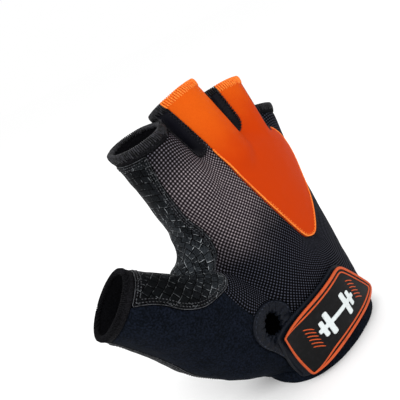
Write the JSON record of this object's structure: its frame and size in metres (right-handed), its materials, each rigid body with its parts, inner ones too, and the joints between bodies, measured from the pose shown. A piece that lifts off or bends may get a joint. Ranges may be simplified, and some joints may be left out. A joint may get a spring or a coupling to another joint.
{
  "type": "half-finger weightlifting glove",
  "caption": "Half-finger weightlifting glove in its worn shape: mesh back with orange stretch panel, textured grip palm, keyhole vent and a badged tab at the wrist.",
  "frame": {"origin": "middle of the wrist opening, in the plane of its edge", "axes": "+Z towards the fingertips, -Y out of the back of the hand, +Y out of the palm, +X towards the little finger and -X towards the thumb"},
  "size_m": [0.1408, 0.0628, 0.1362],
  "materials": {
    "knit_mesh": "matte",
    "orange_cloth": "satin",
    "grip_leather": "satin",
    "neoprene": "matte",
    "gusset_cloth": "satin",
    "hem_knit": "matte",
    "badge_rubber": "matte",
    "badge_border": "matte",
    "badge_print": "matte"
  },
  "bodies": {
    "root": {"palm_grip": "grip_leather", "heel_grip": "grip_leather", "thumb_grip": "grip_leather", "mesh_back": "knit_mesh", "mesh_side": "knit_mesh", "orange_back": "orange_cloth", "thumb_panel": "neoprene", "keyhole_facing": "neoprene", "gusset_index_middle": "gusset_cloth", "gusset_middle_ring": "gusset_cloth", "gusset_ring_pinky": "gusset_cloth", "index_hem": "hem_knit", "middle_hem": "orange_cloth", "ring_hem": "orange_cloth", "pinky_hem": "hem_knit", "thumb_hem": "hem_knit", "wrist_binding": "neoprene", "closure_tab": "neoprene", "badge_base": "badge_rubber", "badge_rim_outer": "badge_border", "badge_rim_inner": "badge_border", "badge_barbell": "badge_print", "badge_rib_radial_1": "badge_border", "badge_rib_radial_2": "badge_border", "badge_rib_radial_3": "badge_border", "badge_rib_ulnar_1": "badge_border", "badge_rib_ulnar_2": "badge_border", "badge_rib_ulnar_3": "badge_border"}
  },
  "joints": []
}
